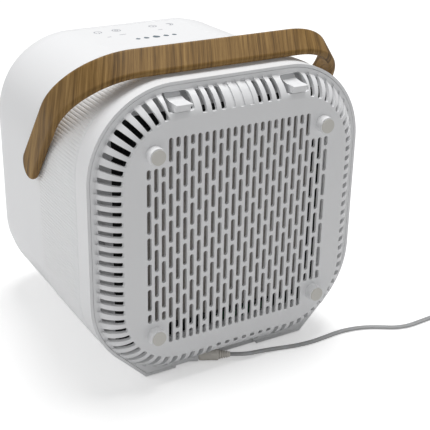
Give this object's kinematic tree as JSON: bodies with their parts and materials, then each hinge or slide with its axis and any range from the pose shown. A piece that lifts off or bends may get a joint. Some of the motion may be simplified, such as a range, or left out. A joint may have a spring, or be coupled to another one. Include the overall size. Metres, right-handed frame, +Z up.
{
  "type": "cool mist humidifier",
  "caption": "Soft-cornered cube humidifier with a louvred outlet, a slotted latched rear intake cover, a bail handle and a lead to a wall adapter.",
  "frame": {"origin": "on the standing surface, under the middle of the body with its rear pads, lead left out", "axes": "+Z up, +Y out of the rear intake grille, +X to the right as seen from the front outlet's side"},
  "size_m": [0.4022, 0.3798, 0.2605],
  "materials": {
    "shell_white": "satin white moulding",
    "rubber_pad": "soft beige rubber",
    "wood": "lengthwise grain, matt lacquer",
    "steel": "plain",
    "nylon": "natural nylon",
    "felt": "grey-brown felt",
    "dark_plastic": "black moulding",
    "foam": "black foam",
    "wick": "pleated fibre",
    "tank": "pale moulding",
    "float_foam": "closed foam",
    "copper": "windings",
    "magnet": "ferrite",
    "board": "green board",
    "lens": "clear light guides",
    "cord": "light grey lead",
    "plug_white": "beige-white moulding"
  },
  "bodies": {
    "housing": {"main_housing": "shell_white", "rear_cover": "shell_white", "rear_posts": "shell_white", "rear_pads": "rubber_pad", "latch_pins": "steel", "latch_springs": "steel", "handle_pins": "steel", "handle_bushes": "nylon", "pin_retaining_rings": "steel", "intake_filter": "felt", "filter_frame": "dark_plastic", "filter_seal": "foam", "bulkhead": "dark_plastic", "bulkhead_screws": "steel", "filter_bezel": "shell_white", "bezel_screws": "steel", "wick_pad": "wick", "wick_frame": "shell_white", "water_tank": "tank", "float_guide": "shell_white", "tank_bumpers": "rubber_pad", "fan_shroud": "dark_plastic", "motor_case": "steel", "motor_windings": "copper", "motor_bearings": "steel", "motor_screws": "steel", "outlet_duct": "dark_plastic", "front_grille": "shell_white", "jack_bracket": "shell_white", "supply_jack": "shell_white", "supply_board": "board", "board_spacers": "nylon", "board_screws": "steel", "control_board": "board", "light_guides": "lens", "board_tray": "dark_plastic", "tray_screws": "steel", "base_plate": "shell_white", "base_screws": "steel", "base_pads": "rubber_pad", "supply_plug": "plug_white", "plug_barrel": "steel", "plug_strain_relief": "plug_white", "power_cord": "cord", "cord_coil": "cord", "wall_adapter": "plug_white", "adapter_blades": "steel", "adapter_gland": "plug_white"},
    "handle": {"handle": "wood"},
    "fan": {"motor_shaft": "steel", "motor_magnet": "magnet", "fan_rotor": "dark_plastic", "fan_nut": "steel"},
    "latch_l": {"latch_left": "shell_white"},
    "latch_r": {"latch_right": "shell_white"},
    "float": {"level_float": "float_foam"}
  },
  "joints": [
    {"name": "handle_swing", "type": "hinge", "parent": "housing", "child": "handle", "pos_m": [0, 0.00075, 0.1573], "axis": [1, 0, 0], "range_deg": [0, 80]},
    {"name": "fan_spin", "type": "hinge", "parent": "housing", "child": "fan", "pos_m": [0, 0.01, 0.132], "axis": [0, 1, 0], "continuous": true},
    {"name": "latch_left_press", "type": "hinge", "parent": "housing", "child": "latch_l", "pos_m": [-0.0501, 0.11025, 0.218], "axis": [1, 0, 0], "range_deg": [0, 8], "stiffness_Nm_per_rad": 0.2, "springref_deg": -5.73, "deforming": ["latch_springs"]},
    {"name": "latch_right_press", "type": "hinge", "parent": "housing", "child": "latch_r", "pos_m": [0.0501, 0.11025, 0.218], "axis": [1, 0, 0], "range_deg": [0, 8], "stiffness_Nm_per_rad": 0.2, "springref_deg": -5.73, "deforming": ["latch_springs"]},
    {"name": "float_rise", "type": "slide", "parent": "housing", "child": "float", "axis": [0, 0, 1], "range_m": [0, 0.012]}
  ]
}
